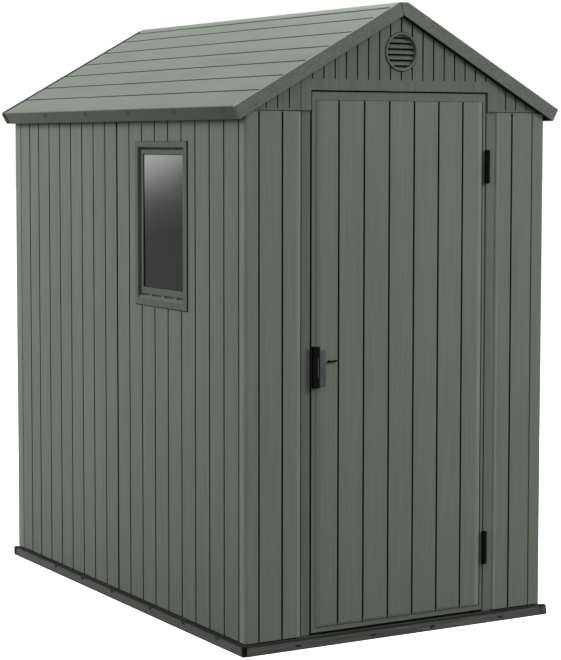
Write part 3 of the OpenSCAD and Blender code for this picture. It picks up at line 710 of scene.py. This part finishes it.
def stud(centre, out, radius, height, dish):
    """A round plug with a dished middle, standing on a face that looks along out."""
    deselect()
    out = Vector(out).normalized()
    bpy.ops.mesh.primitive_cylinder_add(
        vertices=32, radius=radius, depth=height, rotation=UP.rotation_difference(out).to_euler(),
        location=Vector(centre) + out * height / 2,
    )
    piece = bpy.context.active_object
    bpy.ops.object.transform_apply(location=True, rotation=True, scale=True)
    bpy.ops.object.mode_set(mode="EDIT")
    bpy.ops.mesh.select_all(action="DESELECT")
    bpy.ops.object.mode_set(mode="OBJECT")
    for face in piece.data.polygons:
        face.select = face.normal.dot(out) > 0.9
    bpy.context.tool_settings.mesh_select_mode = (False, False, True)
    bpy.ops.object.mode_set(mode="EDIT")
    bpy.ops.mesh.inset(thickness=radius * 0.18)
    bpy.ops.mesh.inset(thickness=radius * 0.2, depth=-height * dish)
    bpy.ops.object.mode_set(mode="OBJECT")
    bpy.ops.object.shade_smooth_by_angle(angle=math.radians(30))
    return piece


def copies(piece, places):
    """One mesh of the piece repeated at each offset from where it was made."""
    made = []
    for place in places:
        take(piece)
        bpy.ops.object.duplicate()
        twin = bpy.context.active_object
        twin.location = place
        made.append(twin)
    bpy.data.objects.remove(piece)
    return joined(made)


def joined(made):
    """The pieces made, as one object, which is the active one."""
    deselect()
    for piece in made:
        piece.select_set(True)
    bpy.context.view_layer.objects.active = made[0]
    bpy.ops.object.join()
    return bpy.context.active_object


# How far the sash laps the sheet on every side, and how far the gasket stands out from the sheet
SASH_LAP = 0.005
GASKET_HEIGHT = 0.0016


class SHED_OT_gasket(bpy.types.Operator):
    """The black gasket round the window's sheet"""

    bl_idname = "shed.gasket"
    bl_label = "Glazing gasket"

    def execute(self, context):
        low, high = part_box("window_glazing")
        deselect()
        bpy.ops.mesh.primitive_plane_add(
            size=1, location=(low.x - 0.0001, (low.y + high.y) / 2, (low.z + high.z) / 2), rotation=(0, -math.pi / 2, 0)
        )
        piece = context.active_object
        piece.scale = (high.z - low.z - 2 * SASH_LAP, high.y - low.y - 2 * SASH_LAP, 1)
        bpy.ops.object.transform_apply(location=True, rotation=True, scale=True)
        bpy.ops.object.mode_set(mode="EDIT")
        bpy.ops.mesh.select_all(action="SELECT")
        bpy.ops.mesh.inset(thickness=context.scene.shed_finish.gasket_width)
        bpy.ops.mesh.delete(type="FACE")
        bpy.ops.mesh.select_all(action="SELECT")
        bpy.ops.mesh.extrude_region_move(TRANSFORM_OT_translate={"value": (-GASKET_HEIGHT, 0, 0)})
        bpy.ops.mesh.select_all(action="SELECT")
        bpy.ops.mesh.normals_make_consistent(inside=False)
        bpy.ops.object.mode_set(mode="OBJECT")
        round_edges(piece, 0.0003)
        settle(piece, "glazing_gasket", "black_plastic")
        return {"FINISHED"}


# How far the strip of painted shadow shows outside the frame and goes in under it, and where it lies before and behind
# the wall's face
SHADOW_SHOWS, SHADOW_TUCK = 0.0028, 0.0005
SHADOW_PROUD, SHADOW_DEEP = 0.0012, 0.003


class SHED_OT_frame_shadow_strip(bpy.types.Operator):
    """A dark strip beside and under the window's frame, as painted shadow"""

    bl_idname = "shed.frame_seal"
    bl_label = "Frame seal"

    def execute(self, context):
        low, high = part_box("window_frame")
        corner = (-WALL_X - SHADOW_PROUD, low.y - SHADOW_SHOWS, low.z - SHADOW_SHOWS)
        back = -WALL_X + SHADOW_DEEP
        parts = [
            block(corner, (back, low.y + SHADOW_TUCK, high.z), 0.0005),
            block(corner, (back, high.y, low.z + SHADOW_TUCK), 0.0005),
        ]
        # the strip takes the groove's painted shade
        settle(joined(parts), "window_frame_seal", "black_plastic", "groove")
        return {"FINISHED"}


# The way a fascia's outer face looks, as shares of outwards and downwards, and how far its edge is below its box's top
FASCIA_OUT, FASCIA_DOWN = 0.875, 0.485
FASCIA_EDGE = 0.0029
# Places of the plugs along a fascia, how far down its face they sit, their height and how far they are let in
PLUG_ROW = (-0.833, -0.502, -0.165, 0.17, 0.524)
PLUG_DROP, PLUG_HEIGHT, PLUG_SINK = 0.0125, 0.0016, 0.0004


class SHED_OT_plugs(bpy.types.Operator):
    """The round plugs over the fixings along both fascias"""

    bl_idname = "shed.plugs"
    bl_label = "Fascia plugs"

    def execute(self, context):
        radius = context.scene.shed_finish.plug_radius
        for side, way in (("left", -1), ("right", 1)):
            low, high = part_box("eave_fascia_" + side)
            out = Vector((way * FASCIA_OUT, 0, -FASCIA_DOWN))
            down = Vector((-way * FASCIA_DOWN, 0, -FASCIA_OUT))
            edge = Vector((low.x if way < 0 else high.x, 0, high.z - FASCIA_EDGE))
            plug = stud(edge + down * PLUG_DROP - out * PLUG_SINK, out, radius, PLUG_HEIGHT, 0.6)
            row = copies(plug, [(0, y, 0) for y in PLUG_ROW])
            settle(row, "fascia_plugs_" + side, "roof_plastic", "plug")
        return {"FINISHED"}


# The corner caps: how far they stand out from the skirt, and how far they reach along the end and along the side
CAP_PROUD, CAP_ALONG_END, CAP_ALONG_SIDE, WING_ALONG_SIDE, WING_ALONG_END = 0.0008, 0.015, 0.0108, 0.014, 0.004
# The clips: places along the ends and the sides, their heights there, and half their length, width and thickness
CLIP_ENDS, CLIP_SIDES = (-0.388, -0.104, 0.127, 0.404), (-0.739, -0.504, -0.26, 0.039, 0.285, 0.521)
CLIP_END_Z, CLIP_SIDE_Z = 0.0135, 0.0245
CLIP_LENGTH, CLIP_WIDTH, CLIP_THICKNESS = 0.009, 0.003, 0.0009


class SHED_OT_base(bpy.types.Operator):
    """The black corner caps and the clips of the base"""

    bl_idname = "shed.base"
    bl_label = "Base caps and clips"

    def execute(self, context):
        low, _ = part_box("floor_left")
        _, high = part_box("floor_right")
        for end, skirt, way in (("front", low.y, 1), ("back", high.y, -1)):
            outer, inner = skirt - way * CAP_PROUD, skirt + way * CAP_ALONG_SIDE
            self.left_cap(end, low.x, high.z, outer, inner, skirt, skirt + way * WING_ALONG_SIDE)
            self.right_cap(end, high.x, high.z, outer, inner)
            # the plate on the right-hand cap's face
            corner = (high.x - 0.0135, skirt - way * 0.0011, 0.002)
            plate = block_about(corner, (high.x + 0.0062, skirt, high.z - 0.003), 0.0004)
            settle(plate, f"corner_face_{end}_right", "floor_plastic")
        clips = {
            "front": [(Vector((x, low.y, CLIP_END_Z)), FRONT) for x in CLIP_ENDS],
            "back": [(Vector((-x, high.y, CLIP_END_Z)), BACK) for x in CLIP_ENDS],
            "left": [(Vector((low.x, y, CLIP_SIDE_Z)), LEFT) for y in CLIP_SIDES],
            "right": [(Vector((high.x, y, CLIP_SIDE_Z)), RIGHT) for y in CLIP_SIDES],
        }
        for side, places in clips.items():
            made = []
            for centre, out in places:
                half = Vector((abs(out.y), abs(out.x), 0)) * CLIP_LENGTH + UP * CLIP_WIDTH + out * CLIP_THICKNESS
                made.append(block_about(centre - half, centre + half, 0.0006))
            # the clips take the groove's painted shade, for the shade in their slots
            settle(joined(made), "base_clips_" + side, "floor_plastic", "groove")
        return {"FINISHED"}

    def left_cap(self, end, x, top, outer, inner, skirt, wing_end):
        """A rounded corner with a thin wing along the side."""
        corner = block_about((x - CAP_PROUD, outer, 0), (x + CAP_ALONG_END, inner, top), 0.0042)
        wing = block_about((x - CAP_PROUD, skirt, 0), (x + WING_ALONG_END, wing_end, top), 0.0015)
        settle(joined([corner, wing]), f"corner_cap_{end}_left", "black_plastic")

    def right_cap(self, end, x, top, outer, inner):
        """A block with a slanted bar at its outer end and a flat one over it."""
        middle = (outer + inner) / 2
        parts = [
            block_about((x - 0.0115, outer, 0), (x + 0.0045, inner, top - 0.0005), 0.0015),
            bar((0.0042, 0.0116, top), 0.0012, -0.13, (x + 0.0068, middle, top / 2)),
            bar((0.0195, 0.0116, 0.0036), 0.0012, 0.04, (x - 0.0045, middle, top + 0.0006)),
        ]
        settle(joined(parts), f"corner_cap_{end}_right", "black_plastic")


# Slope of the roof in degrees, and the heights of its outer corner at the eave and of the underside of its ridge
PITCH = 29
EAVE_Z, RIDGE_Z = 1.7138, 2.0083
# Where a fascia's face ends at its foot, measured from the middle of the shed
FASCIA_FOOT_X = 0.6007
# The black strip along the back edge of the roof, painted shade there: length and thickness, and its distances from the
# eave and above the roof
STRIP_LENGTH, STRIP_THICKNESS, STRIP_START, STRIP_RISE = 0.672, 0.0036, 0.004, 0.0008
# The cap over the back end of a fascia: thickness, length along the eave, height, and how far it stands out
EAVE_CAP = (0.0014, 0.0302, 0.038)
EAVE_CAP_PROUD = 0.0004
# The black strip of painted shadow between gable and barge board: length, depth and width, its start below the ridge,
# and its place along Y
BARGE_SHADOW = (0.63, 0.0078, 0.0056)
BARGE_SHADOW_START, BARGE_SHADOW_DROP, BARGE_SHADOW_Y = 0.006, 0.0004, 0.90195


class SHED_OT_roof_trim(bpy.types.Operator):
    """The black strips and end caps along the edges of the roof and gables; the strips are painted shade."""

    bl_idname = "shed.roof_trim"
    bl_label = "Roof trim"

    def execute(self, context):
        low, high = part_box("barge_back_left")
        slope = math.radians(PITCH)
        along, up = Vector((math.cos(slope), 0, math.sin(slope))), Vector((-math.sin(slope), 0, math.cos(slope)))
        eave, ridge = Vector((low.x, (low.y + high.y) / 2, EAVE_Z)), Vector((0, 0, RIDGE_Z))
        strip = (STRIP_LENGTH, high.y - low.y - 0.0006, STRIP_THICKNESS)
        strip_place = eave + along * (STRIP_START + STRIP_LENGTH / 2) + up * STRIP_RISE
        cap_place = Vector(((low.x - FASCIA_FOOT_X) / 2, high.y - EAVE_CAP[1] / 2 - 0.0001, (EAVE_Z + low.z) / 2))
        cap_place -= along * EAVE_CAP_PROUD
        shadow_place = ridge - along * (BARGE_SHADOW_START + BARGE_SHADOW[0] / 2) - up * BARGE_SHADOW_DROP
        pieces = [
            ("roof_back_strip", strip, 0.0008, strip_place),
            ("eave_cap", EAVE_CAP, 0.0005, cap_place),
            ("gable_seal_front", BARGE_SHADOW, 0.0008, shadow_place + FRONT * BARGE_SHADOW_Y),
            ("gable_seal_back", BARGE_SHADOW, 0.0008, shadow_place + BACK * BARGE_SHADOW_Y),
        ]
        for side, way in (("left", 1), ("right", -1)):
            for name, size, radius, place in pieces:
                piece = bar(size, radius, -slope * way, place * Vector((way, 1, 1)))
                settle(piece, f"{name}_{side}", "black_plastic")
        return {"FINISHED"}


class SHED_OT_hinge_details(bpy.types.Operator):
    """The heads of the hinge pins"""

    bl_idname = "shed.hinge_details"
    bl_label = "Hinge pin heads"

    def execute(self, context):
        radius, height, lift = 0.0055, 0.0022, UP * 0.0002
        for level in ("upper", "lower"):
            low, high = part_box(f"hinge_{level}_pin")
            x, y, _ = (low + high) / 2
            heads = [
                stud(Vector((x, y, high.z)) + lift, UP, radius, height, 0.3),
                stud(Vector((x, y, low.z)) - lift, -UP, radius, height, 0.3),
            ]
            settle(joined(heads), f"hinge_{level}_pin_heads", "hinge_steel")
        return {"FINISHED"}


class SHED_OT_handle_details(bpy.types.Operator):
    """The raised grey rib on the grip, a painted highlight, and the lever's boss"""

    bl_idname = "shed.handle_details"
    bl_label = "Handle details"

    def execute(self, context):
        low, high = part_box("handle_grip")
        rib = block((high.x - 0.0098, low.y - 0.0003, low.z + 0.035),
                    (high.x - 0.0068, low.y + 0.004, high.z - 0.033), 0.0012)
        # painted highlight: the rib's grey stands for a glint on the grip
        settle(rib, "grip_rib", "handle_grey", body="door")
        low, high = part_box("latch_lever")
        boss = stud((low.x + 0.004, low.y + 0.0045, (low.z + high.z) / 2), FRONT, 0.0043, 0.0062, 0.25)
        settle(boss, "lever_boss", "black_plastic", body="door")
        return {"FINISHED"}


# ------------------------------------------------------------------ studio
# Each lamp's width and place
LAMPS = {
    "front_lamp": (2.4, (3.4, -4.7, 4.2)),
    "fill_lamp": (2.4, (-4.4, -5.0, 2.2)),
    "side_lamp": (2.4, (-3.8, 2.8, 3.7)),
    "top_lamp": (3.0, (0.4, -0.2, 6.1)),
    "back_lamp": (2.4, (3.0, 4.0, 5.0)),
}
# What the lamps are aimed at
AIM = Vector((0, 0, 1.2))
FLOOR_SIZE = 120
# The floor as the shed sees it, and its own colour and glow as the camera does
FLOOR_SHADE, FLOOR_WHITE, FLOOR_GLOW = 0.05, 0.9, 0.62


def plain_rays(tree):
    """1 for rays that see the background as it is, from the camera, off a gloss or through glass, and 0 for light."""
    path = tree.nodes.new("ShaderNodeLightPath")
    seen = path.outputs["Is Camera Ray"]
    for kind in ("Is Glossy Ray", "Is Transmission Ray"):
        either = tree.nodes.new("ShaderNodeMath")
        either.operation = "MAXIMUM"
        tree.links.new(seen, either.inputs[0])
        tree.links.new(path.outputs[kind], either.inputs[1])
        seen = either.outputs[0]
    return seen


def blend(tree, lit, seen, end):
    """Shows one shader to light and the other to the rays that see the background."""
    mixer = tree.nodes.new("ShaderNodeMixShader")
    tree.links.new(plain_rays(tree), mixer.inputs[0])
    tree.links.new(lit.outputs[0], mixer.inputs[1])
    tree.links.new(seen.outputs[0], mixer.inputs[2])
    tree.links.new(mixer.outputs[0], tree.nodes[end].inputs["Surface"])


class SHED_OT_studio(bpy.types.Operator):
    """Lay the pale floor, light the shed softly and set up the camera"""

    bl_idname = "shed.studio"
    bl_label = "Studio"

    def execute(self, context):
        p = context.scene.shed_studio
        context.scene.view_settings.view_transform = "Standard"
        self.floor(context)
        self.sky(context, p)
        for name, (size, place) in LAMPS.items():
            lamp = bpy.data.lights.new(name, "AREA")
            lamp.shape = "SQUARE"
            lamp.size = size
            lamp.energy = getattr(p, name)
            holder = bpy.data.objects.new(name, lamp)
            context.collection.objects.link(holder)
            holder.location = place
            holder.rotation_euler = (AIM - holder.location).to_track_quat("-Z", "Y").to_euler()

        camera = bpy.data.objects.new("camera", bpy.data.cameras.new("camera"))
        context.collection.objects.link(camera)
        camera.location = p.camera_place
        camera.rotation_euler = (math.pi / 2 - p.camera_dip, 0, -p.camera_turn)
        camera.data.lens = p.focal_length
        camera.data.shift_x, camera.data.shift_y = p.camera_shift
        bpy.context.scene.camera = camera
        return {"FINISHED"}

    def floor(self, context):
        """A plane that looks white and still takes the shed's shadow."""
        deselect()
        bpy.ops.mesh.primitive_plane_add(size=FLOOR_SIZE, location=(0, 0, CAD_BOX[0].z - 0.0005))
        floor = context.active_object
        floor.name = "studio_floor"
        f = Finish("Studio floor")
        white = f.add("ShaderNodeBsdfPrincipled")
        for shader, shade in ((f.shader, FLOOR_SHADE), (white, FLOOR_WHITE)):
            shader.inputs["Base Color"].default_value = (shade, shade, shade, 1)
            shader.inputs["Roughness"].default_value = 1
            shader.inputs["Specular IOR Level"].default_value = 0
        white.inputs["Emission Color"].default_value = (1, 1, 1, 1)
        white.inputs["Emission Strength"].default_value = FLOOR_GLOW
        blend(f.tree, f.shader, white, "Material Output")
        floor.data.materials.append(f.material)

    def sky(self, context, p):
        """Even light from all round, in front of a white background."""
        world = bpy.data.worlds.new("Studio")
        context.scene.world = world
        world.use_nodes = True
        dim = world.node_tree.nodes["Background"]
        bright = world.node_tree.nodes.new("ShaderNodeBackground")
        for light, strength in ((dim, p.sky_strength), (bright, 1)):
            light.inputs["Color"].default_value = (1, 1, 1, 1)
            light.inputs["Strength"].default_value = strength
        blend(world.node_tree, dim, bright, "World Output")


# ------------------------------------------------------------------ panel
OPERATORS = [
    SHED_OT_finishes, SHED_OT_mouldings, SHED_OT_gasket, SHED_OT_frame_shadow_strip, SHED_OT_plugs, SHED_OT_base,
    SHED_OT_roof_trim, SHED_OT_hinge_details, SHED_OT_handle_details, SHED_OT_studio,
]


class SHED_PT_panel(bpy.types.Panel):
    bl_label = "Garden shed"
    bl_idname = "SHED_PT_panel"
    bl_space_type = "VIEW_3D"
    bl_region_type = "UI"
    bl_category = "Shed"

    def draw(self, context):
        for group in (context.scene.shed_finish, context.scene.shed_studio):
            for key in group.__annotations__:
                self.layout.prop(group, key)
        for operator in OPERATORS:
            self.layout.operator(operator.bl_idname)


CLASSES = [ShedFinish, ShedStudio, *OPERATORS, SHED_PT_panel]


def register():
    for c in CLASSES:
        bpy.utils.register_class(c)
    bpy.types.Scene.shed_finish = bpy.props.PointerProperty(type=ShedFinish)
    bpy.types.Scene.shed_studio = bpy.props.PointerProperty(type=ShedStudio)


def unregister():
    del bpy.types.Scene.shed_studio
    del bpy.types.Scene.shed_finish
    for c in reversed(CLASSES):
        bpy.utils.unregister_class(c)


def main():
    register()
    bpy.ops.shed.finishes()
    bpy.ops.shed.mouldings()
    bpy.ops.shed.gasket()
    bpy.ops.shed.frame_seal()
    bpy.ops.shed.plugs()
    bpy.ops.shed.base()
    bpy.ops.shed.roof_trim()
    bpy.ops.shed.hinge_details()
    bpy.ops.shed.handle_details()
    bpy.ops.shed.studio()


if __name__ == "__main__":
    main()
